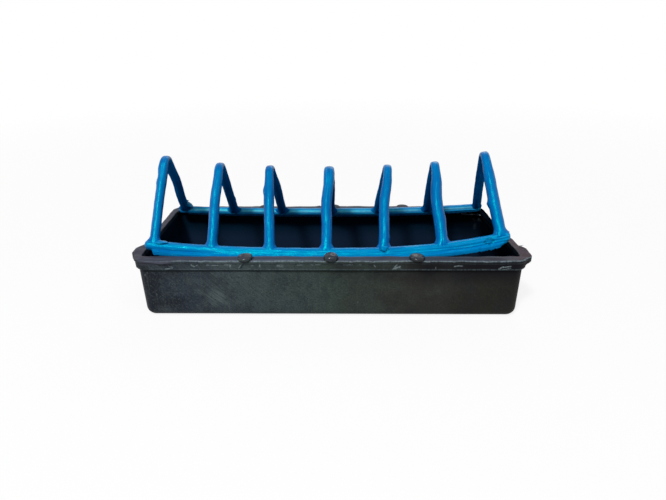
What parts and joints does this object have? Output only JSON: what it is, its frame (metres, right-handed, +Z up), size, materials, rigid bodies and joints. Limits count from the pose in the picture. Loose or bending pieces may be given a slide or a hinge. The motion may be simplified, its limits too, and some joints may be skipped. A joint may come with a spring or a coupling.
{
  "type": "trough feeder",
  "caption": "Long moulded poultry trough with a flanged rim and stud heads, and a lift-out feeding grid of inverted V hoops on two rails in its mouth.",
  "frame": {"origin": "under the middle of the trough, on the surface that it stands on", "axes": "+X along the trough towards its right end, +Y across it towards the rear long side, +Z up"},
  "size_m": [0.306, 0.129, 0.1176],
  "materials": {
    "trough": "satin, scuffed dark grey moulding",
    "stud": "satin dark grey",
    "grid": "half gloss blue moulding"
  },
  "bodies": {
    "trough": {"trough": "trough", "front_stud_left": "stud", "front_stud_middle": "stud", "front_stud_right": "stud", "rear_stud_left": "stud", "rear_stud_middle": "stud", "rear_stud_right": "stud"},
    "grid": {"front_rail": "grid", "rear_rail": "grid", "hoop_1": "grid", "hoop_2": "grid", "hoop_3": "grid", "hoop_4": "grid", "hoop_5": "grid", "hoop_6": "grid", "hoop_7": "grid"}
  },
  "joints": [
    {"name": "grid_lift", "type": "slide", "parent": "trough", "child": "grid", "axis": [0, 0, 1], "range_m": [0, 0.05]}
  ]
}
